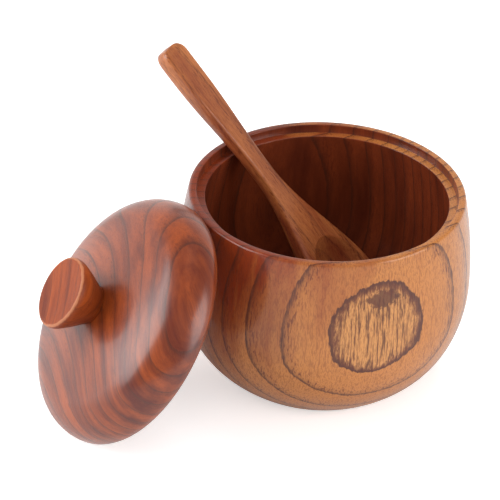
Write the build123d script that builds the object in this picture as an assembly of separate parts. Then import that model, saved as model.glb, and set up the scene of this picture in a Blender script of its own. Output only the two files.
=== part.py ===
"""Turned wooden sugar bowl with its lid leaning against it and its spoon standing inside.

Millimetres, +Z up. The origin is the centre of the bowl's foot, on the surface that it stands on.
-Y faces the viewer. The lid has been lifted off: it stands on its edge to the left of the bowl.
"""
import math
import os

from build123d import *

# Bowl: outside
BOWL_HEIGHT = 65.3
RIM_RADIUS = 44.0
BELLY_RADIUS = 47.1
BELLY_HEIGHT = 35.5
SHOULDER_RADIUS = 39.2
SHOULDER_HEIGHT = 10.0
FOOT_RADIUS = 28.0
FOOT_SPREAD_ANGLE = 33.0
RIM_EDGE_ROUND = 0.9

# Bowl: inside, and the step that the lid drops into
REBATE_RADIUS = 41.6
REBATE_DEPTH = 2.8
MOUTH_RADIUS = 38.8
WALL_AT_BELLY = 5.6
WALL_AT_SHOULDER = 6.0
FLOOR_THICKNESS = 6.5
FLOOR_FLAT_RADIUS = 14.0
MOUTH_EDGE_ROUND = 0.35

# Lid
LID_CLEARANCE = 1.24
LID_HEIGHT = 19.2
LID_CROWN_RADIUS = 30.9
LID_CROWN_DROP = 3.6
LID_EDGE_HEIGHT = 3.26
LID_SEAT_SETBACK = 1.4
LID_DISH_RADIUS = 33.5
LID_DISH_DEPTH = 2.4

# Knob, glued to the lid with a fluted dowel
KNOB_HEIGHT = 12.6
KNOB_FOOT_RADIUS = 6.2
KNOB_WAIST_RADIUS = 6.5
KNOB_WAIST_HEIGHT = 1.0
KNOB_HEAD_RADIUS = 11.6
KNOB_BAND_HEIGHT = 2.3
KNOB_EDGE_ROUND = 1.1
KNOB_FACE_DISH = 0.5
KNOB_SPOTFACE_RADIUS = 6.4
KNOB_SPOTFACE_DEPTH = 0.25
DOWEL_RADIUS = 3.0
DOWEL_LENGTH = 15.0
DOWEL_IN_LID = 8.0
DOWEL_CHAMFER = 0.8
DOWEL_FLUTES = 12
DOWEL_FLUTE_RADIUS = 0.35
DOWEL_CLEARANCE = 0.04
GLUE_GAP = 0.5

# Spoon, along +X from the end of its handle, with its face at Z 0
SPOON_LENGTH = 120.0
HANDLE_END_WIDTH = 9.4
HANDLE_END_THICKNESS = 6.4
HANDLE_MIDDLE_WIDTH = 8.0
NECK_WIDTH = 7.3
NECK_THICKNESS = 5.2
NECK_SHARE = 0.42
HEAD_WIDTH = 29.0
HEAD_THICKNESS = 8.2
HEAD_FROM_TIP = 21.0
SCOOP_LENGTH = 40.0
SCOOP_WIDTH = 25.0
SCOOP_DEPTH = 5.2
SPOON_EDGE_ROUND = 0.8

# Where the loose pieces stand
SEAT_GAP = 0.3
LID_TILT = 56.85
LID_KNOB_BEARING = 201.15
LID_BEARING = 211.07
SPOON_TIP_X = 24.6
SPOON_TIP_Y = 1.4
SPOON_BEARING = -22.6
SPOON_DIP = 46.0
SPOON_ROLL = 3.4

lid_radius = REBATE_RADIUS - LID_CLEARANCE
mouth_height = BOWL_HEIGHT - REBATE_DEPTH
neck_place = NECK_SHARE * SPOON_LENGTH
head_place = SPOON_LENGTH - HEAD_FROM_TIP


def in_section(radius, height):
    """A point of a turned piece's half section, which is drawn in the XZ plane."""
    return (radius, 0, height)


def turned(lines):
    """The solid made by turning a closed half section about its own axis."""
    return revolve(make_face(Wire(lines)), Axis.Z)


def bowl_outside_lines():
    """The wall from the foot over the belly to the rim: two arcs that meet upright at the belly."""
    foot = in_section(FOOT_RADIUS, 0)
    shoulder = in_section(SHOULDER_RADIUS, SHOULDER_HEIGHT)
    belly = in_section(BELLY_RADIUS, BELLY_HEIGHT)
    spread = math.radians(FOOT_SPREAD_ANGLE)
    lower = Spline(
        foot, shoulder, belly,
        tangents=[(math.cos(spread), 0, math.sin(spread)), (0, 0, 1)],
    )
    upper = TangentArc(belly, in_section(RIM_RADIUS, BOWL_HEIGHT), tangent=(0, 0, 1))
    return lower, upper


def bowl_inside_lines():
    """The hollow from the mouth down to the flat of the floor, at each wall's own thickness."""
    mouth = in_section(MOUTH_RADIUS, mouth_height)
    belly = in_section(BELLY_RADIUS - WALL_AT_BELLY, BELLY_HEIGHT)
    low_wall = in_section(SHOULDER_RADIUS - WALL_AT_SHOULDER, SHOULDER_HEIGHT + WALL_AT_SHOULDER / 2)
    floor_edge = in_section(FLOOR_FLAT_RADIUS, FLOOR_THICKNESS)
    upper = TangentArc(belly, mouth, tangent=(0, 0, 1))
    lower = Spline(belly, low_wall, floor_edge, tangents=[(0, 0, -1), (-1, 0, 0)])
    return upper, lower


def make_bowl():
    outside_lower, outside_upper = bowl_outside_lines()
    inside_upper, inside_lower = bowl_inside_lines()
    rebate_foot = in_section(REBATE_RADIUS, mouth_height)
    corners = Polyline(
        in_section(RIM_RADIUS, BOWL_HEIGHT),
        in_section(REBATE_RADIUS, BOWL_HEIGHT),
        rebate_foot,
        in_section(MOUTH_RADIUS, mouth_height),
    )
    base = Polyline(
        in_section(FLOOR_FLAT_RADIUS, FLOOR_THICKNESS),
        in_section(0, FLOOR_THICKNESS),
        in_section(0, 0),
        in_section(FOOT_RADIUS, 0),
    )
    lines = [outside_lower, outside_upper, *corners.edges(), inside_upper, inside_lower, *base.edges()]
    bowl = turned(lines)
    rim_edge = circle_edge(bowl, RIM_RADIUS, BOWL_HEIGHT)
    bowl = fillet(rim_edge, RIM_EDGE_ROUND)
    soft_edges = [
        circle_edge(bowl, REBATE_RADIUS, BOWL_HEIGHT),
        circle_edge(bowl, MOUTH_RADIUS, mouth_height),
    ]
    return fillet(soft_edges, MOUTH_EDGE_ROUND)


def circle_edge(piece, radius, height):
    """The circular edge of a turned piece nearest to that radius and height."""
    def miss(edge):
        return abs(edge.radius - radius) + abs(edge.arc_center.Z - height)

    return min(piece.edges().filter_by(GeomType.CIRCLE), key=miss)


def lid_crown_height(radius):
    """Height of the lid's crown arc above its underside at that radius."""
    arc_radius = (LID_CROWN_RADIUS**2 + LID_CROWN_DROP**2) / (2 * LID_CROWN_DROP)
    return LID_HEIGHT - arc_radius + math.sqrt(arc_radius**2 - radius**2)


def make_lid():
    """The domed disc, its dished underside and the spot face and blind hole for the knob."""
    apex = in_section(0, LID_HEIGHT)
    crown_end = in_section(LID_CROWN_RADIUS, LID_HEIGHT - LID_CROWN_DROP)
    edge = in_section(lid_radius, LID_EDGE_HEIGHT)
    seat = in_section(lid_radius - LID_SEAT_SETBACK, 0)
    crown = TangentArc(apex, crown_end, tangent=(1, 0, 0))
    shoulder = TangentArc(crown_end, edge, tangent=crown % 1)
    nose = TangentArc(edge, seat, tangent=shoulder % 1)
    seat_line = Line(seat, in_section(LID_DISH_RADIUS, 0))
    dish = TangentArc(in_section(0, LID_DISH_DEPTH), in_section(LID_DISH_RADIUS, 0), tangent=(1, 0, 0))
    axis_line = Line(in_section(0, LID_DISH_DEPTH), apex)
    lid = turned([crown, shoulder, nose, seat_line, dish, axis_line])
    seat_height = lid_crown_height(KNOB_SPOTFACE_RADIUS) - KNOB_SPOTFACE_DEPTH
    lid -= Pos(0, 0, seat_height) * Cylinder(
        KNOB_SPOTFACE_RADIUS, LID_HEIGHT, align=(Align.CENTER, Align.CENTER, Align.MIN)
    )
    lid -= dowel_hole(seat_height - DOWEL_IN_LID - GLUE_GAP, seat_height)
    return lid, seat_height


def dowel_hole(low, high):
    """A blind hole for the dowel between two heights."""
    return Pos(0, 0, low) * Cylinder(
        DOWEL_RADIUS + DOWEL_CLEARANCE, high - low, align=(Align.CENTER, Align.CENTER, Align.MIN)
    )


def make_knob(seat_height):
    """The flared knob, standing on the lid's spot face."""
    waist_height = seat_height + KNOB_WAIST_HEIGHT
    top = seat_height + KNOB_HEIGHT
    foot = in_section(KNOB_FOOT_RADIUS, seat_height)
    waist = in_section(KNOB_WAIST_RADIUS, waist_height)
    flare_end = in_section(KNOB_HEAD_RADIUS, top - KNOB_BAND_HEIGHT)
    rim = in_section(KNOB_HEAD_RADIUS, top)
    face_centre = in_section(0, top - KNOB_FACE_DISH)
    flare = Spline(waist, flare_end, tangents=[(0.64, 0, 1), (0.45, 0, 1)])
    face = TangentArc(face_centre, rim, tangent=(1, 0, 0))
    lines = [
        Line(in_section(0, seat_height), foot),
        Line(foot, waist),
        flare,
        Line(flare_end, rim),
        face,
        Line(face_centre, in_section(0, seat_height)),
    ]
    knob = turned(lines)
    knob = fillet(circle_edge(knob, KNOB_HEAD_RADIUS, top), KNOB_EDGE_ROUND)
    knob = fillet(circle_edge(knob, KNOB_HEAD_RADIUS, top - KNOB_BAND_HEIGHT), KNOB_EDGE_ROUND)
    depth = DOWEL_LENGTH - DOWEL_IN_LID + GLUE_GAP
    return knob - dowel_hole(seat_height, seat_height + depth)


def make_dowel(seat_height):
    """The fluted dowel that pins the knob to the lid."""
    bottom = seat_height - DOWEL_IN_LID
    dowel = Pos(0, 0, bottom) * Cylinder(
        DOWEL_RADIUS, DOWEL_LENGTH, align=(Align.CENTER, Align.CENTER, Align.MIN)
    )
    dowel = chamfer(dowel.edges().filter_by(GeomType.CIRCLE), DOWEL_CHAMFER)
    flute = Pos(0, 0, bottom) * Cylinder(
        DOWEL_FLUTE_RADIUS, DOWEL_LENGTH, align=(Align.CENTER, Align.CENTER, Align.MIN)
    )
    return dowel - [place * flute for place in PolarLocations(DOWEL_RADIUS, DOWEL_FLUTES)]


def spoon_section(place, width, thickness, drop):
    """A slice across the spoon: a flat face with eased corners over a round underside.

    drop is how far the face lies under the handle's own face at that place.
    """
    half = width / 2
    ease = min(SPOON_EDGE_ROUND, thickness / 4)
    plane = Plane(origin=(place, 0, -drop), x_dir=(0, 1, 0), z_dir=(1, 0, 0))
    left, right = -half, half
    top = Line((left + ease, 0), (right - ease, 0))
    right_ease = TangentArc((right - ease, 0), (right, -ease), tangent=(1, 0))
    under = Spline(
        (right, -ease), (0.81 * right, -0.83 * thickness), (0, -thickness),
        (0.81 * left, -0.83 * thickness), (left, -ease),
        tangents=[(0, -1), (0, 1)],
    )
    left_ease = TangentArc((left, -ease), (left + ease, 0), tangent=(0, 1))
    return plane * make_face(Wire([top, right_ease, under, left_ease]))


def make_spoon():
    """The carved spoon: one loft from the handle's end to the tip, then the scoop."""
    end_width, end_thick = HANDLE_END_WIDTH, HANDLE_END_THICKNESS
    middle_thick = (end_thick + NECK_THICKNESS) / 2
    tip = SPOON_LENGTH
    neck_start = head_place - HEAD_WIDTH * 0.93
    slices = [
        spoon_section(0.0, 0.60 * end_width, 0.55 * end_thick, 0.8),
        spoon_section(1.2, 0.82 * end_width, 0.78 * end_thick, 0.35),
        spoon_section(4.0, 0.98 * end_width, 0.97 * end_thick, 0.05),
        spoon_section(0.10 * tip, end_width, end_thick, 0),
        spoon_section(0.25 * tip, HANDLE_MIDDLE_WIDTH, middle_thick, 0),
        spoon_section(neck_place, NECK_WIDTH, NECK_THICKNESS, 0),
        spoon_section((neck_place + neck_start) / 2, 1.12 * NECK_WIDTH, 1.05 * NECK_THICKNESS, 0),
        spoon_section(neck_start, 0.53 * HEAD_WIDTH, 0.73 * HEAD_THICKNESS, 0),
        spoon_section(head_place - 0.45 * HEAD_WIDTH, 0.85 * HEAD_WIDTH, 0.92 * HEAD_THICKNESS, 0),
        spoon_section(head_place, HEAD_WIDTH, HEAD_THICKNESS, 0),
        spoon_section(tip - 0.43 * HEAD_FROM_TIP, 0.86 * HEAD_WIDTH, 0.80 * HEAD_THICKNESS, 0),
        spoon_section(tip - 0.14 * HEAD_FROM_TIP, 0.60 * HEAD_WIDTH, 0.52 * HEAD_THICKNESS, 0),
        spoon_section(tip, 0.30 * HEAD_WIDTH, 0.30 * HEAD_THICKNESS, 0.1),
    ]
    spoon = loft(slices)
    return spoon - scoop_cutter()


def scoop_cutter():
    """The body that the scoop is cut with: an arc turned about an axis over the spoon's face."""
    half_length, half_width = SCOOP_LENGTH / 2, SCOOP_WIDTH / 2
    cut_radius = (half_width**2 + SCOOP_DEPTH**2) / (2 * SCOOP_DEPTH)
    axis_height = cut_radius - SCOOP_DEPTH
    ends = [(head_place - half_length, 0, 0), (head_place + half_length, 0, 0)]
    arc = ThreePointArc(ends[0], (head_place, 0, -SCOOP_DEPTH), ends[1])
    rest = Polyline(
        ends[1],
        (ends[1][0], 0, axis_height),
        (ends[0][0], 0, axis_height),
        ends[0],
    )
    section = make_face(Wire([arc, *rest.edges()]))
    return revolve(section, Axis((0, 0, axis_height), (1, 0, 0)))


def lid_place(bowl, lid):
    """Stands the lid on its edge, tilted towards its knob's bearing, just off the bowl's wall."""
    turn = Rot(0, 0, LID_KNOB_BEARING) * Rot(0, LID_TILT, 0)
    height = -(turn * lid).bounding_box().min.Z
    away = math.radians(LID_BEARING)
    near, far = RIM_RADIUS, 3 * RIM_RADIUS
    for _ in range(12):
        middle = (near + far) / 2
        place = Pos(middle * math.cos(away), middle * math.sin(away), height) * turn
        if bowl.distance_to(place * lid) < SEAT_GAP:
            near = middle
        else:
            far = middle
    return Pos(far * math.cos(away), far * math.sin(away), height) * turn


def spoon_place(bowl, spoon):
    """Leans the spoon over the rim, its tip lifted off the floor until it just clears the bowl."""
    turn = Rot(0, 0, SPOON_BEARING) * Rot(0, SPOON_DIP, 0) * Rot(SPOON_ROLL, 0, 0)
    from_tip = Pos(-SPOON_LENGTH, 0, 0)
    low, high = 0, BOWL_HEIGHT
    for _ in range(11):
        middle = (low + high) / 2
        place = Pos(SPOON_TIP_X, SPOON_TIP_Y, middle) * turn * from_tip
        if bowl.distance_to(place * spoon) < SEAT_GAP:
            low = middle
        else:
            high = middle
    return Pos(SPOON_TIP_X, SPOON_TIP_Y, high) * turn * from_tip


def write(node, shape):
    export_step(shape, f"parts/{node}.step")


def main():
    os.makedirs("parts", exist_ok=True)
    bowl = make_bowl()
    lid, seat_height = make_lid()
    knob = make_knob(seat_height)
    dowel = make_dowel(seat_height)
    spoon = make_spoon()
    write("bowl", bowl)
    stand = lid_place(bowl, lid)
    write("lid", stand * lid)
    write("lid_knob", stand * knob)
    write("knob_dowel", stand * dowel)
    write("spoon", spoon_place(bowl, spoon) * spoon)


main()
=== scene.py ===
import math

import bmesh
import bpy
from mathutils import Matrix, Vector


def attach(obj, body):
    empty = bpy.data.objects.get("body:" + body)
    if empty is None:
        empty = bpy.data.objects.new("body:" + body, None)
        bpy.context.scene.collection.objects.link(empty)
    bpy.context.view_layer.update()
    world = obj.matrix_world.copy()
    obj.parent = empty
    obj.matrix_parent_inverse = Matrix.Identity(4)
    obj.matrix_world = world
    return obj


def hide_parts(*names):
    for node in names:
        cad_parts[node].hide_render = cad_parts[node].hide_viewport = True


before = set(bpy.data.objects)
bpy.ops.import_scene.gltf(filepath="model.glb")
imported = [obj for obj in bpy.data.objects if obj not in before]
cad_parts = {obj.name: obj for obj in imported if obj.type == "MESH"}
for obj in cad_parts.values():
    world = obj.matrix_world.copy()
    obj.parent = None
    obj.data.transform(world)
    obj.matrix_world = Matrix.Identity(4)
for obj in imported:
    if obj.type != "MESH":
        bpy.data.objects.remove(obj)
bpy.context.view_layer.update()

bl_info = {
    "name": "Turned wooden sugar bowl",
    "version": (1, 0, 0),
    "blender": (4, 5, 0),
    "location": "3D View > Sidebar > Sugar bowl",
    "description": "Dresses a turned sugar bowl, its leaning lid and its carved spoon",
    "category": "Object",
}

MM = 0.001

# Where the lid stands: the centre of its underside, its tilt and the bearing of its knob
LID_CENTRE = (-56.679, -34.150, 32.717)
LID_TILT = 56.85
LID_KNOB_BEARING = 201.15
# Where the spoon stands: the end of its handle and how it lies
SPOON_END = (-52.358, 33.435, 96.301)
SPOON_BEARING = -22.6
SPOON_DIP = 46.0
SPOON_ROLL = 3.4

# Places on the bowl's walls, as radius and height, and how steeply the wall leaves the foot
LOWER_WALL = (39.2, 10.0)
INSIDE_LOWER_WALL = (33.2, 13.0)
FOOT_SPREAD = 33.0
FOOT_EASE = 0.4
# Roundings that are too small to change, in mm
STEP_CORNER = 0.2
LIP_CORNER = 0.3
RIM_CORNER = 0.4
# How the knob's cone leaves its waist and meets its band
CONE_START_WAY = (0.64, 1.0)
CONE_END_WAY = (0.45, 1.0)
# Where the spoon's handle starts to narrow and to thin, and over what length, in mm
NARROWING = (14.0, 36.0)
THINNING = (8.0, 38.0)
END_LENGTH = 4.2
END_FULLNESS = 0.42
END_DROP = 0.8
# How far the tip closes, and how square the spoon's underside is: 1 is an ellipse
TIP_WIDTH_CLOSING = 0.93
TIP_THICKNESS_CLOSING = 0.90
UNDERSIDE_SQUARENESS = 0.66


def mm_prop(name, description, value):
    """A length in millimetres that a user may change."""
    return bpy.props.FloatProperty(name=name, description=description, default=value, min=0.0)


def colour_prop(name, description, value):
    """A colour that a user may change."""
    return bpy.props.FloatVectorProperty(
        name=name, description=description, default=value, size=3, subtype="COLOR", min=0.0, max=1.0
    )


def share_prop(name, description, value):
    """A share from 0 to 1 that a user may change."""
    return bpy.props.FloatProperty(
        name=name, description=description, default=value, min=0.0, max=1.0, subtype="FACTOR"
    )


class BowlSettings(bpy.types.PropertyGroup):
    """Sizes of the turned bowl, in millimetres."""

    height: mm_prop("Height", "Foot to rim", 65.3)
    rim_radius: mm_prop("Rim radius", "Outside of the rim", 44.0)
    belly_radius: mm_prop("Belly radius", "Widest radius of the wall", 47.1)
    belly_height: mm_prop("Belly height", "Height of the widest place", 35.5)
    foot_radius: mm_prop("Foot radius", "Flat that the bowl stands on", 28.0)
    rebate_radius: mm_prop("Rebate radius", "Wall of the step for the lid", 41.6)
    rebate_depth: mm_prop("Rebate depth", "Depth of the step for the lid", 2.8)
    mouth_radius: mm_prop("Mouth radius", "Opening under the step", 38.8)
    floor: mm_prop("Floor", "Thickness of the floor", 6.5)
    inside_radius: mm_prop("Inside radius", "Widest radius of the hollow", 41.5)
    floor_radius: mm_prop("Floor radius", "Flat of the inside floor", 14.0)
    rim_round: mm_prop("Rim round", "Rounding of the rim's outer edge", 0.9)
    edge_round: mm_prop("Edge round", "Rounding of the inner edges", 0.35)


class LidSettings(bpy.types.PropertyGroup):
    """Sizes of the domed lid, in millimetres."""

    radius: mm_prop("Radius", "Widest radius", 40.36)
    height: mm_prop("Height", "Underside to crown", 19.2)
    crown_radius: mm_prop("Crown radius", "Reach of the flat crown", 30.9)
    crown_drop: mm_prop("Crown drop", "Fall of the crown at its reach", 3.6)
    edge_height: mm_prop("Edge height", "Height of the widest place", 3.26)
    seat_setback: mm_prop("Seat setback", "How far the underside draws in", 1.4)
    dish_radius: mm_prop("Dish radius", "Hollow of the underside", 33.5)
    dish_depth: mm_prop("Dish depth", "Depth of that hollow", 2.4)


class KnobSettings(bpy.types.PropertyGroup):
    """Sizes of the flared knob, in millimetres."""

    seat_height: mm_prop("Seat height", "Height of the knob's foot over the lid's underside", 18.798)
    height: mm_prop("Height", "Foot to face", 12.6)
    foot_radius: mm_prop("Foot radius", "Where it meets the lid", 6.2)
    waist_radius: mm_prop("Waist radius", "Where the cone starts", 6.5)
    waist_height: mm_prop("Waist height", "Height of the cone's start", 1.0)
    head_radius: mm_prop("Head radius", "Widest part", 11.6)
    band_height: mm_prop("Band height", "Upright band under the face", 2.3)
    edge_round: mm_prop("Edge round", "Rounding of the band", 1.1)
    face_dish: mm_prop("Face dish", "Hollow of the face", 0.5)


class SpoonSettings(bpy.types.PropertyGroup):
    """Sizes of the carved spoon, in millimetres."""

    length: mm_prop("Length", "Handle's end to tip", 119.9)
    end_width: mm_prop("End width", "Width of the handle's end", 11.0)
    end_thickness: mm_prop("End thickness", "Thickness of the handle's end", 6.8)
    neck_width: mm_prop("Neck width", "Narrowest place of the handle", 7.2)
    neck_thickness: mm_prop("Neck thickness", "Thickness there", 5.2)
    flare_start: mm_prop("Flare start", "Where the handle starts to widen", 52.0)
    head_width: mm_prop("Head width", "Widest place of the head", 29.0)
    head_thickness: mm_prop("Head thickness", "Thickness of the head", 8.7)
    head_from_tip: mm_prop("Head from tip", "Widest place to tip", 21.0)
    scoop_length: mm_prop("Scoop length", "Length of the hollow", 40.0)
    scoop_width: mm_prop("Scoop width", "Width of the hollow", 25.6)
    scoop_depth: mm_prop("Scoop depth", "Depth of the hollow", 5.2)
    edge_round: mm_prop("Edge round", "Rounding of the face's edge", 1.1)


class WoodSettings(bpy.types.PropertyGroup):
    """Colours of the lacquered woods."""

    honey: colour_prop("Honey", "Pale wood on the bowl's front", (0.53, 0.195, 0.046))
    heart: colour_prop("Heart", "Palest wood inside the eye", (0.60, 0.265, 0.080))
    russet: colour_prop("Russet", "Red stain on the bowl", (0.22, 0.030, 0.006))
    ring: colour_prop("Ring line", "Dark ring lines", (0.075, 0.018, 0.009))
    pore: colour_prop("Pore", "Pores and short dashes", (0.120, 0.020, 0.008))
    # painted shade: the hollow's colours are darker than the wood outside, and its paler streaks are painted
    # glints
    inside: colour_prop("Inside", "Deep colour of the hollow", (0.085, 0.014, 0.006))
    glow: colour_prop("Glow", "Paler streaks of the hollow", (0.25, 0.045, 0.013))
    mahogany: colour_prop("Mahogany", "Body colour of the lid", (0.105, 0.013, 0.005))
    amber: colour_prop("Amber", "Pale streaks of the lid", (0.40, 0.078, 0.014))
    # painted highlight: a paler colour laid on the knob's rounded edge where light catches it
    painted_highlight: colour_prop("Rubbed", "Stain rubbed paler on the knob's edge", (0.58, 0.24, 0.12))
    tan: colour_prop("Tan", "Body colour of the spoon", (0.56, 0.190, 0.055))
    chestnut: colour_prop("Chestnut", "Darker streaks of the spoon", (0.23, 0.045, 0.015))
    beech: colour_prop("Dowel", "Bare wood of the dowel", (0.60, 0.42, 0.24))
    pores: share_prop("Pores", "How strongly the pores show", 0.85)


def settings(name):
    """The settings group of that name on the open scene."""
    return getattr(bpy.context.scene, name)


# Half sections of the turned pieces

def tangent_arc(start, heading, end, steps=12):
    """Points of the arc that leaves start along heading and ends at end, and its last heading."""
    chord = Vector(end) - Vector(start)
    heading = Vector(heading).normalized()
    swing = math.atan2(heading.cross(chord), heading.dot(chord))
    if abs(swing) < 1e-6:
        return [Vector(start).lerp(Vector(end), i / steps) for i in range(steps + 1)], heading
    radius = chord.length / (2 * math.sin(swing))
    side = Vector((-heading.y, heading.x))
    centre = Vector(start) + side * radius
    arm = Vector(start) - centre
    points = [centre + turned_by(arm, 2 * swing * i / steps) for i in range(steps + 1)]
    return points, turned_by(heading, 2 * swing)


def turned_by(vector, angle):
    """A flat vector turned anticlockwise."""
    return Matrix.Rotation(angle, 2) @ Vector(vector)


def smooth_run(points, first_heading, last_heading, steps=10):
    """Points of the smooth curve through a few points, with its headings given at both ends."""
    points = [Vector(p) for p in points]
    spans = [(b - a).length for a, b in zip(points, points[1:])]
    slopes = [None] * len(points)
    slopes[0] = Vector(first_heading).normalized()
    slopes[-1] = Vector(last_heading).normalized()
    if len(points) == 3:
        near, far = spans
        pull = (points[1] - points[0]) * (far / near) + (points[2] - points[1]) * (near / far)
        slopes[1] = (3 * pull - far * slopes[0] - near * slopes[2]) / (2 * (near + far))
    result = []
    for i, span in enumerate(spans):
        for k in range(steps + (i == len(spans) - 1)):
            t = k / steps
            a = points[i] * (2 * t**3 - 3 * t**2 + 1) + slopes[i] * span * (t**3 - 2 * t**2 + t)
            b = points[i + 1] * (3 * t**2 - 2 * t**3) + slopes[i + 1] * span * (t**3 - t**2)
            result.append(a + b)
    return result


def soft_corner(before, corner, after, size, steps=5):
    """Points that round a corner between two straight runs."""
    corner = Vector(corner)
    start = corner + (Vector(before) - corner).normalized() * size
    end = corner + (Vector(after) - corner).normalized() * size
    return [
        start * (1 - t) ** 2 + corner * 2 * t * (1 - t) + end * t**2
        for t in (i / steps for i in range(steps + 1))
    ]


def spin_section(name, section, place=None, steps=160):
    """A new closed piece: the half section turned all the way round, then set in its place."""
    mesh = bmesh.new()
    verts = [mesh.verts.new((p.x * MM, 0.0, p.y * MM)) for p in section]
    edges = [mesh.edges.new(pair) for pair in zip(verts, verts[1:])]
    bmesh.ops.spin(
        mesh, geom=verts + edges, cent=(0, 0, 0), axis=(0, 0, 1), angle=2 * math.pi,
        steps=steps, use_merge=True, use_duplicate=False,
    )
    bmesh.ops.remove_doubles(mesh, verts=mesh.verts, dist=1e-7)
    bmesh.ops.recalc_face_normals(mesh, faces=mesh.faces)
    if place is not None:
        bmesh.ops.transform(mesh, matrix=place, verts=mesh.verts)
    return new_piece(name, mesh)


def new_piece(name, mesh):
    """The object of a finished bmesh, at the origin, smoothly shaded."""
    data = bpy.data.meshes.new(name)
    for face in mesh.faces:
        face.smooth = True
    mesh.to_mesh(data)
    mesh.free()
    piece = bpy.data.objects.new(name, data)
    bpy.context.scene.collection.objects.link(piece)
    return piece


def lid_place():
    """The lid's place: its own axis is Z and its underside's centre is the origin."""
    centre = Vector(LID_CENTRE) * MM
    turn = Matrix.Rotation(math.radians(LID_KNOB_BEARING), 4, "Z")
    return Matrix.Translation(centre) @ turn @ Matrix.Rotation(math.radians(LID_TILT), 4, "Y")


def spoon_place():
    """The spoon's place: X runs from the end of its handle to its tip, and its face is Z 0."""
    end = Vector(SPOON_END) * MM
    turn = Matrix.Rotation(math.radians(SPOON_BEARING), 4, "Z")
    dip = Matrix.Rotation(math.radians(SPOON_DIP), 4, "Y")
    roll = Matrix.Rotation(math.radians(SPOON_ROLL), 4, "X")
    return Matrix.Translation(end) @ turn @ dip @ roll


def bowl_section():
    """The bowl's half section, from the centre of its foot round to the centre of its floor."""
    s = settings("sugar_bowl_bowl")
    belly = (s.belly_radius, s.belly_height)
    mouth_height = s.height - s.rebate_depth
    spread = math.radians(FOOT_SPREAD)
    lower = smooth_run(
        [(s.foot_radius, 0), LOWER_WALL, belly], (math.cos(spread), math.sin(spread)), (0, 1), 14
    )
    rim_outer = (s.rim_radius, s.height)
    upper, _ = tangent_arc(belly, (0, 1), rim_outer, 18)
    rim_inner = (s.rebate_radius, s.height)
    step_in = (s.rebate_radius, mouth_height)
    step_lip = (s.mouth_radius, mouth_height)
    inside_belly = (s.inside_radius, s.belly_height)
    inside_upper, _ = tangent_arc(inside_belly, (0, 1), step_lip, 14)
    inside_upper.reverse()
    inside_lower = smooth_run(
        [inside_belly, INSIDE_LOWER_WALL, (s.floor_radius, s.floor)], (0, -1), (-1, 0), 12
    )
    section = [Vector((0, 0)), Vector((12, 0)), Vector((s.foot_radius - FOOT_EASE, 0))]
    section += lower[1:] + upper[1:-1]
    section += soft_corner(upper[-2], rim_outer, rim_inner, s.rim_round)
    section += soft_corner(rim_outer, rim_inner, step_in, s.edge_round)
    section += soft_corner(rim_inner, step_in, step_lip, STEP_CORNER, 3)
    section += soft_corner(step_in, step_lip, inside_upper[1], s.edge_round)
    section += inside_upper[1:] + inside_lower[1:]
    section += [Vector((7, s.floor)), Vector((0, s.floor))]
    return section


def lid_section():
    """The lid's half section, from its crown round the edge to the centre of its underside."""
    s = settings("sugar_bowl_lid")
    crown_end = (s.crown_radius, s.height - s.crown_drop)
    edge = (s.radius, s.edge_height)
    seat = (s.radius - s.seat_setback, 0)
    crown, heading = tangent_arc((0, s.height), (1, 0), crown_end, 8)
    shoulder, heading = tangent_arc(crown_end, heading, edge, 24)
    nose, heading = tangent_arc(edge, heading, seat, 10)
    dish, _ = tangent_arc((0, s.dish_depth), (1, 0), (s.dish_radius, 0), 8)
    dish.reverse()
    lip = soft_corner(nose[-2], seat, (s.dish_radius, 0), LIP_CORNER, 3)
    rim = soft_corner(seat, (s.dish_radius, 0), dish[1], RIM_CORNER, 3)
    return crown + shoulder[1:] + nose[1:-1] + lip + rim + dish[1:]


def knob_section():
    """The knob's half section, from the centre of its foot to the centre of its face."""
    s = settings("sugar_bowl_knob")
    base, top = s.seat_height, s.seat_height + s.height
    waist = (s.waist_radius, base + s.waist_height)
    band_low = (s.head_radius, top - s.band_height)
    band_high = (s.head_radius, top)
    flare = smooth_run([waist, band_low], CONE_START_WAY, CONE_END_WAY, 12)
    face, _ = tangent_arc((0, top - s.face_dish), (1, 0), band_high, 8)
    face.reverse()
    section = [Vector((0, base)), Vector((s.foot_radius, base))]
    section += flare[:-2]
    section += soft_corner(flare[-3], band_low, band_high, s.edge_round)
    section += soft_corner(band_low, band_high, face[1], s.edge_round)
    section += face[1:]
    return section


def smooth_step(share):
    """An even run from 0 to 1 with level ends."""
    share = min(1.0, max(0.0, share))
    return share * share * (3 - 2 * share)


def flare_share(s, along):
    """How far the handle has widened into the head at a place along it."""
    head = s.length - s.head_from_tip
    return smooth_step((along - s.flare_start) / (head - s.flare_start))


def spoon_half_width(s, along):
    """Half the spoon's width at a place along it, from the handle's end to the tip."""
    head = s.length - s.head_from_tip
    if along > head:
        past = (along - head) / s.head_from_tip
        return s.head_width / 2 * math.sqrt(1 - TIP_WIDTH_CLOSING * past**2.4)
    start, length = NARROWING
    handle = (s.end_width + (s.neck_width - s.end_width) * smooth_step((along - start) / length)) / 2
    handle *= end_share(along)
    return handle + (s.head_width / 2 - handle) * flare_share(s, along)


def spoon_thickness(s, along):
    """The spoon's thickness at a place along it."""
    head = s.length - s.head_from_tip
    if along > head:
        past = (along - head) / s.head_from_tip
        return s.head_thickness * math.sqrt(1 - TIP_THICKNESS_CLOSING * past**1.5)
    start, length = THINNING
    handle = s.end_thickness + (s.neck_thickness - s.end_thickness) * smooth_step((along - start) / length)
    handle *= 0.45 + 0.55 * end_share(along)
    return handle + (s.head_thickness - handle) * flare_share(s, along)


def end_share(along):
    """How full the handle's rounded end is at a place along it."""
    if along > END_LENGTH:
        return 1.0
    short = (END_LENGTH - along) / END_LENGTH
    return END_FULLNESS + (1 - END_FULLNESS) * (1 - short**2.2) ** 0.5


def scoop_half_width(s, along):
    """Half the scoop's width at a place along the spoon, or 0 outside it."""
    aside = abs(along - (s.length - s.head_from_tip))
    if aside >= s.scoop_length / 2:
        return 0.0
    reach, lift = scoop_reach(s, along)
    return math.sqrt(max(0.0, reach**2 - lift**2))


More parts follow.
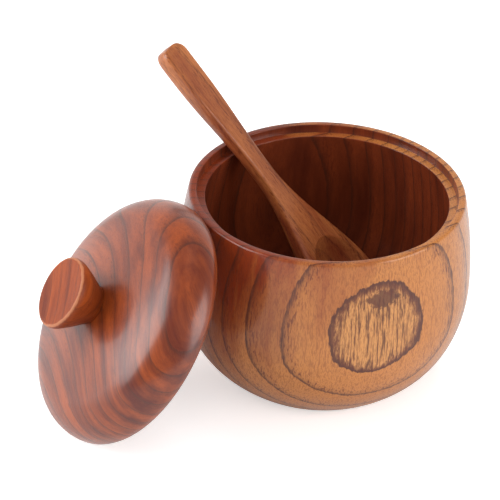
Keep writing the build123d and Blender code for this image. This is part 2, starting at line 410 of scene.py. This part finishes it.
def scoop_reach(s, along):
    """The scoop's radius about its turning axis at a place along it, and the axis' height."""
    half_length, half_width, deep = s.scoop_length / 2, s.scoop_width / 2, s.scoop_depth
    lift = (half_width**2 + deep**2) / (2 * deep) - deep
    arc = (half_length**2 + deep**2) / (2 * deep)
    aside = along - (s.length - s.head_from_tip)
    return lift + deep - arc + math.sqrt(arc**2 - aside**2), lift


def spoon_outline(s, along):
    """The points of one slice, from the left edge over the face to the right edge and back underneath."""
    half, thick = spoon_half_width(s, along), spoon_thickness(s, along)
    drop = END_DROP * max(0.0, 1 - along / 4) ** 2
    ease = min(s.edge_round, 0.3 * thick)
    rim = half - ease
    scoop = min(scoop_half_width(s, along), rim - 0.2)
    inner = max(scoop, 0.35 * rim)
    face = [-rim + (rim - inner) * i / 5 for i in range(5)]
    face += [-inner + 2 * inner * i / 30 for i in range(31)]
    face += [inner + (rim - inner) * (i + 1) / 5 for i in range(5)]
    points = []
    for i in range(6):
        swing = math.radians(90 - 15 * i)
        points.append((-rim - ease * math.sin(swing), -ease + ease * math.cos(swing)))
    for aside in face[1:-1]:
        level = 0.0
        if scoop > 0 and abs(aside) < scoop - 1e-6:
            reach, lift = scoop_reach(s, along)
            level = min(0.0, lift - math.sqrt(reach**2 - aside**2))
        points.append((aside, level))
    for i in range(6):
        swing = math.radians(15 + 15 * i)
        points.append((rim + ease * math.sin(swing), -ease + ease * math.cos(swing)))
    for i in range(1, 30):
        swing = math.pi * i / 30
        side = math.copysign(abs(math.cos(swing)) ** UNDERSIDE_SQUARENESS, math.cos(swing))
        points.append((half * side, -ease - (thick - ease) * math.sin(swing) ** UNDERSIDE_SQUARENESS))
    return [Vector((along, across, level - drop)) * MM for across, level in points]


def spoon_piece():
    """The carved spoon: slices bridged from the handle's end to the tip."""
    s = settings("sugar_bowl_spoon")
    head, half_scoop = s.length - s.head_from_tip, s.scoop_length / 2
    stops = [0, 0.15, 0.45, 0.9, 1.5, 2.2, 3.0, 4.0, 5.0]
    stops += [5 + (head - half_scoop - 5) * i / 40 for i in range(1, 41)]
    for start, end in ((head - half_scoop, head), (head, head + half_scoop)):
        stops += [start + (end - start) * smooth_step(i / 34) for i in range(1, 35)]
    stops += [head + half_scoop + (s.head_from_tip - half_scoop) * i / 4 for i in range(1, 5)]
    mesh = bmesh.new()
    last = None
    for along in stops:
        outline = spoon_outline(s, along)
        ring = bmesh.ops.create_circle(mesh, segments=len(outline), radius=MM)["verts"]
        for vert, point in zip(ring, outline):
            vert.co = point
        edges = sorted({edge for vert in ring for edge in vert.link_edges}, key=lambda edge: edge.index)
        if last is None:
            bmesh.ops.contextual_create(mesh, geom=edges)
        else:
            bmesh.ops.bridge_loops(mesh, edges=last + edges)
        last = edges
    bmesh.ops.contextual_create(mesh, geom=last)
    bmesh.ops.recalc_face_normals(mesh, faces=mesh.faces)
    bmesh.ops.transform(mesh, matrix=spoon_place(), verts=mesh.verts)
    return new_piece("carved_spoon", mesh)


# Node helpers

class Net:
    """Adds nodes to a tree and links them in one call."""

    def __init__(self, tree):
        self.tree = tree

    def put(self, kind, values=None, **options):
        """A node of that kind. values maps its inputs to numbers or to other nodes' outputs."""
        node = self.tree.nodes.new(kind)
        for key, value in options.items():
            setattr(node, key, value)
        for key, value in (values or {}).items():
            if isinstance(value, bpy.types.NodeSocket):
                self.tree.links.new(value, node.inputs[key])
            else:
                node.inputs[key].default_value = value
        return node

    def maths(self, operation, first, second=0.0, third=0.0, clamp=False):
        """The result of one Math node."""
        node = self.put("ShaderNodeMath", {0: first, 1: second, 2: third}, operation=operation)
        node.use_clamp = clamp
        return node.outputs[0]

    def vector(self, operation, first, second=(0, 0, 0), out="Vector"):
        """The result of one Vector Math node."""
        node = self.put("ShaderNodeVectorMath", {0: first, 1: second}, operation=operation)
        return node.outputs[out]

    def mix(self, share, first, second):
        """Two colours mixed by a share."""
        node = self.put("ShaderNodeMix", data_type="RGBA")
        for slot, value in ((0, share), (6, first), (7, second)):
            if isinstance(value, bpy.types.NodeSocket):
                self.tree.links.new(value, node.inputs[slot])
            else:
                node.inputs[slot].default_value = value
        return node.outputs[2]

    def ramp(self, share, stops):
        """A share reshaped by (place, value) stops."""
        node = self.put("ShaderNodeValToRGB", {"Fac": share})
        first, last = node.color_ramp.elements[0], node.color_ramp.elements[1]
        first.position, first.color = stops[0][0], (stops[0][1],) * 3 + (1,)
        last.position, last.color = stops[-1][0], (stops[-1][1],) * 3 + (1,)
        for place, value in stops[1:-1]:
            node.color_ramp.elements.new(place).color = (value,) * 3 + (1,)
        return node.outputs["Color"]

    def noise(self, vector, scale, detail=2.0, rough=0.5):
        """A noise share on a vector."""
        node = self.put(
            "ShaderNodeTexNoise", {"Vector": vector, "Scale": scale, "Detail": detail, "Roughness": rough}
        )
        return node.outputs["Fac"]


def group_tree(name, inputs, outputs):
    """A new shader node group with those sockets, its helper and its two ends."""
    tree = bpy.data.node_groups.new(name, "ShaderNodeTree")
    for label, kind, value in inputs:
        socket = tree.interface.new_socket(name=label, in_out="INPUT", socket_type=kind)
        if value is not None:
            socket.default_value = value
    for label, kind in outputs:
        tree.interface.new_socket(name=label, in_out="OUTPUT", socket_type=kind)
    net = Net(tree)
    return net, net.put("NodeGroupInput"), net.put("NodeGroupOutput")


def grain_group():
    """Ring-porous grain: X is the depth across the rings and Z runs along the fibre, in mm.

    It puts out the ring lines, the pores, slow shade changes and the height for a bump.
    """
    if "Ring grain" in bpy.data.node_groups:
        return bpy.data.node_groups["Ring grain"]
    inputs = [
        ("Vector", "NodeSocketVector", None),
        ("Ring count", "NodeSocketFloat", 0.0),
        ("Pore share", "NodeSocketFloat", 0.5),
    ]
    outputs = [
        ("Lines", "NodeSocketFloat"),
        ("Pores", "NodeSocketFloat"),
        ("Shade", "NodeSocketFloat"),
        ("Height", "NodeSocketFloat"),
    ]
    net, start, end = group_tree("Ring grain", inputs, outputs)
    vector = start.outputs["Vector"]
    phase = net.maths("FRACT", start.outputs["Ring count"])
    # each line darkens slowly on one side and ends sharply on the other, as late wood does
    lines = net.ramp(
        phase, [(0.0, 0.0), (0.66, 0.0), (0.86, 0.30), (0.93, 0.95), (0.972, 1.0), (0.992, 0.05)]
    )
    band = net.ramp(phase, [(0.0, 0.5), (0.5, 0.45), (0.80, 1.0), (1.0, 0.7)])
    size = net.vector("MULTIPLY", vector, (1.0, 1.0, 0.15))
    dashes = net.noise(size, 1.9, 2.0, 0.55)
    dashes = net.ramp(dashes, [(0.53, 0.0), (0.61, 1.0)])
    fine = net.noise(size, 4.2, 1.0, 0.5)
    fine = net.ramp(fine, [(0.52, 0.0), (0.62, 0.8)])
    pores = net.maths("MAXIMUM", net.maths("MULTIPLY", dashes, band), net.maths("MULTIPLY", fine, 0.5))
    pores = net.maths("MULTIPLY", pores, start.outputs["Pore share"], clamp=True)
    broken = net.ramp(net.noise(size, 1.1, 3.0, 0.7), [(0.34, 0.60), (0.55, 1.0)])
    lines = net.maths("MULTIPLY", lines, broken, clamp=True)
    slow = net.vector("MULTIPLY", vector, (0.15, 0.08, 0.014))
    shade = net.ramp(net.noise(slow, 1.0, 5.0, 0.62), [(0.33, 0.0), (0.67, 1.0)])
    height = net.maths("SUBTRACT", 0.0, pores)
    for label, value in (("Lines", lines), ("Pores", pores), ("Shade", shade), ("Height", height)):
        net.tree.links.new(value, end.inputs[label])
    return net.tree


def curve_points(node, points):
    """Sets a Float Curve node to straight runs through points from 0 to 1."""
    curve = node.mapping.curves[0]
    curve.points[0].location = points[0]
    curve.points[-1].location = points[-1]
    for place in points[1:-1]:
        curve.points.new(*place)
    for point in curve.points:
        point.handle_type = "VECTOR"
    node.mapping.update()


def new_material(name, settings_of_shader):
    """A material with a Principled shader whose constants stand on its own sockets."""
    material = bpy.data.materials.new(name)
    material.use_nodes = True
    net = Net(material.node_tree)
    shader = material.node_tree.nodes["Principled BSDF"]
    for label, value in settings_of_shader.items():
        shader.inputs[label].default_value = value
    return material, net, shader


def rgba(colour):
    """A colour property as four numbers."""
    return (colour[0], colour[1], colour[2], 1.0)


# How the lacquers shine
LACQUER = {"Roughness": 0.40, "Coat Weight": 0.70, "Coat Roughness": 0.17, "Specular IOR Level": 0.2}
LID_LACQUER = {"Roughness": 0.36, "Coat Weight": 0.75, "Coat Roughness": 0.23, "Specular IOR Level": 0.3}
KNOB_LACQUER = {"Roughness": 0.45, "Coat Weight": 0.12, "Coat Roughness": 0.2, "Specular IOR Level": 0.2}
BARE_WOOD = {"Roughness": 0.7}
BUMP_STRENGTH = 0.30
BUMP_DISTANCE = 0.0002

# Depths of the bowl's ring lines under the eye on its front, in mm
BOWL_RINGS = (
    1.75, 6.27, 11.78, 17.66, 23.5, 28.4, 33.6, 37.9, 42.2, 46.9, 51.8, 56.0, 60.3, 64.1, 68.6, 73.6, 79.0,
    84.5, 90.0,
)
# The bearing of the eye, and how the rings curve round it: up and down, and sideways
EYE_BEARING = 23.27
RING_CROWN = 0.00064
RING_CROWN_HEIGHT = 60.0
RING_BOW = -0.00525
BOWL_WANDER = 1.6
BOWL_RAGGED = 0.5
LINE_SHARE = 0.93
# A height inside the bowl from which its hollow faces point inwards, in metres; those faces take the painted
# shade of the hollow
HOLLOW_CENTRE = (0, 0, 0.045)
# The stain grows towards the rim and the left, per metre
STAIN_WAY = (-15.0, 0.0, 14.0)
STAIN_START = 0.48
STAIN_CLOUD = 0.45
# The dark smudge at the top of the eye: its shape, and its centre in that shape's measure
SMUDGE_SHAPE = (0.0, 0.09, 0.16)
SMUDGE_CENTRE = (0.0, 0.08, 8.42)
# Ways of the grain in the lid's and the knob's own axes
LID_RING_WAY = (-0.803, -0.128, 0.582)
LID_FIBRE_WAY = (-0.157, 0.988, 0.0)
KNOB_RING_WAY = (-0.70, 0.64, 0.30)
KNOB_FIBRE_WAY = (-0.675, -0.738, 0.0)
# The plain woods: how far their rings wander, where they bend and a shift that keeps the count positive
PLAIN_WANDER = 3.0
BEND_OFFSET = 15.1
RING_SHIFT = 500.0
LID_BEND = 0.0132


def bump(net, shader, height):
    """Feeds a height to the shader's normal."""
    node = net.put("ShaderNodeBump", {"Height": height, "Strength": BUMP_STRENGTH, "Distance": BUMP_DISTANCE})
    net.tree.links.new(node.outputs["Normal"], shader.inputs["Normal"])


def centred_noise(net, vector, detail, rough, reach):
    """A noise about zero, reach wide."""
    share = net.noise(vector, 1.0, detail, rough)
    return net.maths("MULTIPLY", net.maths("SUBTRACT", share, 0.5), reach)


def bowl_material():
    """Honey wood whose rings close into an eye on the front, painted darker and redder in the hollow as
    shade, with paler streaks there as painted glints.
    """
    wood = settings("sugar_bowl_wood")
    sizes = settings("sugar_bowl_bowl")
    material, net, shader = new_material("Bowl wood", LACQUER)
    place = net.put("ShaderNodeTexCoord").outputs["Object"]
    turned = net.put(
        "ShaderNodeMapping",
        {"Vector": place, "Rotation": (0, 0, math.radians(90 - EYE_BEARING)), "Scale": (1000, 1000, 1000)},
    ).outputs["Vector"]
    parts = net.put("ShaderNodeSeparateXYZ", {0: turned})
    reach, aside = parts.outputs["X"], parts.outputs["Y"]
    over = net.maths("SUBTRACT", parts.outputs["Z"], RING_CROWN_HEIGHT)
    crown = net.maths("MULTIPLY", net.maths("MULTIPLY", over, over), RING_CROWN)
    bow = net.maths("MULTIPLY", net.maths("MULTIPLY", aside, aside), RING_BOW)
    depth = net.maths("ADD", net.maths("SUBTRACT", sizes.belly_radius, reach), net.maths("ADD", crown, bow))
    wander = net.vector("MULTIPLY", turned, (0.05, 0.05, 0.03))
    wander = centred_noise(net, wander, 2.0, 0.5, BOWL_WANDER)
    ragged = net.vector("MULTIPLY", turned, (0.7, 0.7, 0.25))
    ragged = centred_noise(net, ragged, 2.0, 0.6, BOWL_RAGGED)
    depth = net.maths("ADD", net.maths("ADD", depth, wander), ragged)
    curve = net.put("ShaderNodeFloatCurve", {"Value": net.maths("DIVIDE", depth, 100.0)})
    count = len(BOWL_RINGS)
    ring_stops = [(d / 100, (i + 1) / (count + 1)) for i, d in enumerate(BOWL_RINGS)]
    curve_points(curve, [(0.0, 0.0)] + ring_stops + [(1.0, 1.0)])
    rings = net.maths("MULTIPLY", curve.outputs[0], count + 1.0)
    grain = net.put("ShaderNodeGroup", node_tree=grain_group())
    net.tree.links.new(turned, grain.inputs["Vector"])
    net.tree.links.new(rings, grain.inputs["Ring count"])
    grain.inputs["Pore share"].default_value = wood.pores
    # the faces that point inwards take the painted shade of the hollow
    normal = net.put("ShaderNodeNewGeometry").outputs["Normal"]
    inward = net.vector("SUBTRACT", place, HOLLOW_CENTRE)
    inward = net.vector("DOT_PRODUCT", normal, inward, "Value")
    inside = net.maths("LESS_THAN", inward, 0.0)
    side = net.vector("DOT_PRODUCT", place, STAIN_WAY, "Value")
    cloud = net.maths("MULTIPLY", net.maths("SUBTRACT", grain.outputs["Shade"], 0.5), STAIN_CLOUD)
    stain = net.maths("ADD", net.maths("SUBTRACT", side, STAIN_START), cloud)
    stain = net.ramp(stain, [(0.05, 0.0), (0.70, 1.0)])
    # the eye: fine streaks, a smudge at its top and a fuzzy inner edge
    streaks = net.noise(net.vector("MULTIPLY", turned, (1.3, 1.3, 0.06)), 1.0, 3.0, 0.65)
    streaks = net.ramp(streaks, [(0.50, 0.0), (0.60, 0.85)])
    eye = net.maths("LESS_THAN", rings, 0.97)
    smudge = net.vector("DISTANCE", net.vector("MULTIPLY", turned, SMUDGE_SHAPE), SMUDGE_CENTRE, "Value")
    smudge = net.maths("ADD", smudge, net.maths("MULTIPLY", net.noise(turned, 0.5, 3.0, 0.7), 0.9))
    smudge = net.ramp(smudge, [(0.85, 0.85), (1.40, 0.0)])
    smudge = net.maths("MULTIPLY", smudge, eye)
    fringe = net.vector("MULTIPLY", turned, (0.8, 0.8, 0.30))
    fringe = net.maths("ADD", rings, centred_noise(net, fringe, 3.0, 0.7, 0.55))
    fringe = net.maths("MULTIPLY", net.ramp(fringe, [(0.70, 0.0), (0.88, 0.85)]), eye)
    body = net.mix(stain, rgba(wood.honey), rgba(wood.russet))
    body = net.mix(net.maths("MULTIPLY", eye, 0.9), body, rgba(wood.heart))
    body = net.mix(net.maths("MULTIPLY", eye, streaks), body, rgba(wood.ring))
    body = net.mix(fringe, body, rgba(wood.pore))
    body = net.mix(smudge, body, rgba(wood.ring))
    # painted shade of the hollow, streaked with paler painted glints
    hollow = net.mix(grain.outputs["Shade"], rgba(wood.inside), rgba(wood.glow))
    body = net.mix(inside, body, hollow)
    body = net.mix(grain.outputs["Pores"], body, rgba(wood.pore))
    body = net.mix(net.maths("MULTIPLY", grain.outputs["Lines"], LINE_SHARE), body, rgba(wood.ring))
    net.tree.links.new(body, shader.inputs["Base Color"])
    bump(net, shader, grain.outputs["Height"])
    return material


def plain_wood(name, pale, deep, place, spacing, ring_way, fibre_way, finish, pore_share, ring_share,
               bend_share=0.0, highlight_edge=None):
    """Wood with even rings, spacing mm apart, lined up with a piece that stands at place.

    ring_way points across the rings and fibre_way along the fibre, both in the piece's own axes.
    bend_share bends the rings along the fibre. The last argument is the radius and height of a turned
    edge, in mm, where a painted highlight makes the colour paler.
    """
    wood = settings("sugar_bowl_wood")
    material, net, shader = new_material(name, finish)
    coords = net.put("ShaderNodeTexCoord").outputs["Object"]
    away = net.vector("SUBTRACT", coords, tuple(place.translation))
    turn = place.to_3x3()
    fibre = Vector(fibre_way).normalized()
    across = Vector(ring_way)
    across = (across - fibre * across.dot(fibre)).normalized()
    axes = [turn @ across, turn @ fibre.cross(across), turn @ fibre]
    own = [net.vector("DOT_PRODUCT", away, tuple(axis * 1000.0), "Value") for axis in axes]
    turned = net.put("ShaderNodeCombineXYZ", {0: own[0], 1: own[1], 2: own[2]}).outputs[0]
    wander = net.vector("MULTIPLY", turned, (0.05, 0.05, 0.02))
    wander = centred_noise(net, wander, 2.0, 0.5, PLAIN_WANDER)
    parts = net.put("ShaderNodeSeparateXYZ", {0: turned})
    along = net.maths("ADD", parts.outputs["Z"], BEND_OFFSET)
    bend = net.maths("MULTIPLY", net.maths("MULTIPLY", along, along), bend_share)
    depth = net.maths("ADD", net.maths("ADD", parts.outputs["X"], wander), bend)
    rings = net.maths("DIVIDE", net.maths("ADD", depth, RING_SHIFT), spacing)
    grain = net.put("ShaderNodeGroup", node_tree=grain_group())
    bent = net.put("ShaderNodeCombineXYZ", {0: depth, 1: parts.outputs["Y"], 2: parts.outputs["Z"]})
    net.tree.links.new(bent.outputs[0], grain.inputs["Vector"])
    net.tree.links.new(rings, grain.inputs["Ring count"])
    grain.inputs["Pore share"].default_value = pore_share
    body = net.mix(grain.outputs["Shade"], rgba(deep), rgba(pale))
    body = net.mix(grain.outputs["Pores"], body, rgba(wood.pore))
    body = net.mix(net.maths("MULTIPLY", grain.outputs["Lines"], ring_share), body, rgba(wood.ring))
    # painted highlight: the turned edge is coloured paler around its radius and height, broken by noise
    if highlight_edge:
        radius, height = highlight_edge
        axis = turn @ Vector((0, 0, 1))
        up = net.vector("DOT_PRODUCT", away, tuple(axis * 1000.0), "Value")
        far = net.vector("LENGTH", net.vector("MULTIPLY", away, (1000, 1000, 1000)), out="Value")
        squares = net.maths("MULTIPLY", far, far), net.maths("MULTIPLY", up, up)
        out = net.maths("SQRT", net.maths("SUBTRACT", *squares))
        off = net.put("ShaderNodeCombineXYZ", {0: out, 1: up}).outputs[0]
        highlight_share = net.vector("DISTANCE", off, (radius, height, 0.0), "Value")
        highlight_share = net.maths("ADD", highlight_share, net.maths("MULTIPLY", net.noise(turned, 0.6, 3.0, 0.6), 0.8))
        highlight_share = net.ramp(highlight_share, [(0.70, 0.60), (1.70, 0.0)])
        body = net.mix(highlight_share, body, rgba(wood.painted_highlight))
    net.tree.links.new(body, shader.inputs["Base Color"])
    bump(net, shader, grain.outputs["Height"])
    return material


def dress(piece, material):
    """Puts one material on a piece."""
    piece.data.materials.clear()
    piece.data.materials.append(material)


class SUGARBOWL_OT_stage(bpy.types.Operator):
    """Adds the floor, the lamps, the world and the camera"""

    bl_idname = "sugar_bowl.stage"
    bl_label = "Stage"

    def execute(self, context):
        make_floor()
        make_lamps()
        make_world()
        make_camera()
        context.scene.view_settings.view_transform = "Standard"
        return {"FINISHED"}


class SUGARBOWL_OT_bowl(bpy.types.Operator):
    """Turns the bowl"""

    bl_idname = "sugar_bowl.bowl"
    bl_label = "Bowl"

    def execute(self, context):
        piece = spin_section("turned_bowl", bowl_section())
        dress(piece, bowl_material())
        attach(piece, "bowl")
        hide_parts("bowl")
        return {"FINISHED"}


class SUGARBOWL_OT_lid(bpy.types.Operator):
    """Turns the lid and stands it on its edge"""

    bl_idname = "sugar_bowl.lid"
    bl_label = "Lid"

    def execute(self, context):
        wood = settings("sugar_bowl_wood")
        piece = spin_section("turned_lid", lid_section(), lid_place())
        material = plain_wood(
            "Lid wood", wood.amber, wood.mahogany, lid_place(), 5.9, LID_RING_WAY, LID_FIBRE_WAY,
            LID_LACQUER, pore_share=0.55, ring_share=0.8, bend_share=LID_BEND,
        )
        dress(piece, material)
        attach(piece, "lid")
        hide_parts("lid")
        return {"FINISHED"}


class SUGARBOWL_OT_knob(bpy.types.Operator):
    """Turns the knob and dresses its dowel"""

    bl_idname = "sugar_bowl.knob"
    bl_label = "Knob"

    def execute(self, context):
        wood = settings("sugar_bowl_wood")
        knob = settings("sugar_bowl_knob")
        piece = spin_section("turned_knob", knob_section(), lid_place(), 96)
        inset = 0.4
        # the knob's rounded edge gets a painted highlight
        material = plain_wood(
            "Knob wood", wood.amber, wood.mahogany, lid_place(), 4.5, KNOB_RING_WAY, KNOB_FIBRE_WAY,
            KNOB_LACQUER, pore_share=0.45, ring_share=0.4,
            highlight_edge=(knob.head_radius - inset, knob.seat_height + knob.height - inset),
        )
        dress(piece, material)
        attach(piece, "lid")
        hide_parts("lid_knob")
        dowel = plain_wood(
            "Dowel wood", wood.beech, wood.beech, lid_place(), 1.5, (1, 0, 0), (0, 0, 1),
            BARE_WOOD, pore_share=0.2, ring_share=0.3,
        )
        dress(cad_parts["knob_dowel"], dowel)
        return {"FINISHED"}


class SUGARBOWL_OT_spoon(bpy.types.Operator):
    """Carves the spoon"""

    bl_idname = "sugar_bowl.spoon"
    bl_label = "Spoon"

    def execute(self, context):
        wood = settings("sugar_bowl_wood")
        material = plain_wood(
            "Spoon wood", wood.tan, wood.chestnut, spoon_place(), 3.0, (0, 0.4, 1), (1, 0, 0),
            LACQUER, pore_share=0.75, ring_share=0.4,
        )
        piece = spoon_piece()
        dress(piece, material)
        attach(piece, "spoon")
        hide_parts("spoon")
        return {"FINISHED"}


# The stage: its floor's colour and camera glow, and the room's light
FLOOR_COLOUR = (0.93, 0.93, 0.93, 1)
FLOOR_GLOW = 0.52
ROOM_LIGHT = 0.38
WHITE = (1, 1, 1, 1)


def make_floor():
    """A pale floor that takes the shadow."""
    mesh = bmesh.new()
    bmesh.ops.create_grid(mesh, x_segments=2, y_segments=2, size=6.0)
    floor = new_piece("floor", mesh)
    material, net, shader = new_material("Floor", {"Roughness": 0.9, "Specular IOR Level": 0.1})
    shader.inputs["Base Color"].default_value = FLOOR_COLOUR
    rays = net.put("ShaderNodeLightPath")
    glow = net.put("ShaderNodeEmission", {"Color": WHITE, "Strength": FLOOR_GLOW})
    seen = net.put("ShaderNodeMixShader", {0: rays.outputs["Is Camera Ray"]})
    both = net.put("ShaderNodeAddShader")
    output = net.tree.nodes["Material Output"]
    net.tree.links.new(shader.outputs[0], both.inputs[0])
    net.tree.links.new(glow.outputs[0], both.inputs[1])
    net.tree.links.new(shader.outputs[0], seen.inputs[1])
    net.tree.links.new(both.outputs[0], seen.inputs[2])
    net.tree.links.new(seen.outputs[0], output.inputs["Surface"])
    dress(floor, material)


def add_lamp(name, place, aim, size, power):
    """A square softbox at place that faces aim."""
    lamp = bpy.data.lights.new(name, "AREA")
    lamp.shape = "SQUARE"
    lamp.size = size
    lamp.energy = power
    holder = bpy.data.objects.new(name, lamp)
    holder.location = place
    holder.rotation_euler = (Vector(aim) - Vector(place)).to_track_quat("-Z", "Y").to_euler()
    bpy.context.scene.collection.objects.link(holder)
    return holder


def make_lamps():
    """A broad softbox at the left, one low at the right, one above and a weak front fill.

    The last two light the object without showing in its gloss.
    """
    aim = (0, 0, 0.03)
    add_lamp("left softbox", (-1.25, -0.18, 0.66), aim, 1.1, 18.0)
    add_lamp("right softbox", (1.1, -0.5, 0.45), aim, 0.85, 9.0)
    over = add_lamp("top softbox", (0.15, 0.35, 1.35), aim, 0.6, 5.0)
    over.visible_glossy = False
    fill = add_lamp("front fill", (0.0, -1.1, 0.9), aim, 0.8, 4.5)
    fill.visible_glossy = False


def make_world():
    """An even pale room that looks white to the camera."""
    world = bpy.data.worlds.new("Room")
    bpy.context.scene.world = world
    world.use_nodes = True
    net = Net(world.node_tree)
    world.node_tree.nodes.clear()
    rays = net.put("ShaderNodeLightPath")
    white = net.maths("MAXIMUM", rays.outputs["Is Camera Ray"], rays.outputs["Is Transmission Ray"])
    white = net.maths("MAXIMUM", white, rays.outputs["Is Glossy Ray"])
    room = net.put("ShaderNodeBackground", {"Color": WHITE, "Strength": ROOM_LIGHT})
    # gloss sees the white backdrop low down and behind, and a greyer room above and in front
    way = net.put("ShaderNodeTexCoord").outputs["Generated"]
    front = net.vector("DOT_PRODUCT", way, (0.10, -0.55, 0.83), "Value")
    front = net.maths("MULTIPLY_ADD", front, 0.5, 0.5)
    grey = net.ramp(front, [(0.35, 1.0), (0.55, 0.40), (0.75, 0.18)])
    shown = net.maths("MAXIMUM", grey, net.maths("SUBTRACT", 1.0, rays.outputs["Is Glossy Ray"]))
    screen = net.put("ShaderNodeBackground", {"Color": WHITE, "Strength": shown})
    both = net.put("ShaderNodeMixShader", {0: white})
    output = net.put("ShaderNodeOutputWorld")
    net.tree.links.new(room.outputs[0], both.inputs[1])
    net.tree.links.new(screen.outputs[0], both.inputs[2])
    net.tree.links.new(both.outputs[0], output.inputs[0])


# The camera: how far it stands in mm, how high it looks down from and how it is turned in degrees
CAMERA_LENS = 273.6
CAMERA_DISTANCE = 1206.6
CAMERA_ELEVATION = 31.14
CAMERA_YAW = -1.32
CAMERA_PITCH = 32.09
CAMERA_ROLL = 2.48
CAMERA_AIM_HEIGHT = 65.34


def make_camera():
    """The camera that sees the object as the photograph does."""
    lift = math.radians(CAMERA_ELEVATION)
    yaw, pitch, roll = (math.radians(a) for a in (CAMERA_YAW, CAMERA_PITCH, CAMERA_ROLL))
    away, height = CAMERA_DISTANCE * math.cos(lift), CAMERA_DISTANCE * math.sin(lift)
    place = Vector((0, -away, height + CAMERA_AIM_HEIGHT))
    forward = Vector((math.sin(yaw) * math.cos(pitch), math.cos(yaw) * math.cos(pitch), -math.sin(pitch)))
    level = Vector((math.cos(yaw), -math.sin(yaw), 0))
    upright = level.cross(forward)
    right = level * math.cos(roll) + upright * math.sin(roll)
    up = upright * math.cos(roll) - level * math.sin(roll)
    data = bpy.data.cameras.new("camera")
    data.lens = CAMERA_LENS
    data.sensor_width = 36.0
    data.clip_end = 50.0
    camera = bpy.data.objects.new("camera", data)
    turn = Matrix((right, up, -forward)).transposed().to_4x4()
    camera.matrix_world = Matrix.Translation(place * MM) @ turn
    bpy.context.scene.collection.objects.link(camera)
    bpy.context.scene.camera = camera


class SUGARBOWL_PT_panel(bpy.types.Panel):
    """Lists the pieces in the sidebar"""

    bl_idname = "SUGARBOWL_PT_panel"
    bl_label = "Sugar bowl"
    bl_space_type = "VIEW_3D"
    bl_region_type = "UI"
    bl_category = "Sugar bowl"

    def draw(self, context):
        for operator in OPERATORS:
            self.layout.operator(operator.bl_idname)
        for name in SETTINGS:
            box = self.layout.box()
            group = getattr(context.scene, name)
            for label in group.bl_rna.properties.keys():
                if label not in {"rna_type", "name"}:
                    box.prop(group, label)


SETTINGS = {
    "sugar_bowl_bowl": BowlSettings,
    "sugar_bowl_lid": LidSettings,
    "sugar_bowl_knob": KnobSettings,
    "sugar_bowl_spoon": SpoonSettings,
    "sugar_bowl_wood": WoodSettings,
}
OPERATORS = (
    SUGARBOWL_OT_stage,
    SUGARBOWL_OT_bowl,
    SUGARBOWL_OT_lid,
    SUGARBOWL_OT_knob,
    SUGARBOWL_OT_spoon,
)


def register():
    """Registers the classes and hangs the settings on the scene."""
    for group in SETTINGS.values():
        bpy.utils.register_class(group)
    for name, group in SETTINGS.items():
        setattr(bpy.types.Scene, name, bpy.props.PointerProperty(type=group))
    for operator in OPERATORS:
        bpy.utils.register_class(operator)
    bpy.utils.register_class(SUGARBOWL_PT_panel)


def unregister():
    """Takes everything off again."""
    bpy.utils.unregister_class(SUGARBOWL_PT_panel)
    for operator in reversed(OPERATORS):
        bpy.utils.unregister_class(operator)
    for name in SETTINGS:
        delattr(bpy.types.Scene, name)
    for group in reversed(list(SETTINGS.values())):
        bpy.utils.unregister_class(group)


def main():
    """Builds the scene."""
    register()
    bpy.ops.sugar_bowl.stage()
    bpy.ops.sugar_bowl.bowl()
    bpy.ops.sugar_bowl.lid()
    bpy.ops.sugar_bowl.knob()
    bpy.ops.sugar_bowl.spoon()


if __name__ == "__main__":
    main()
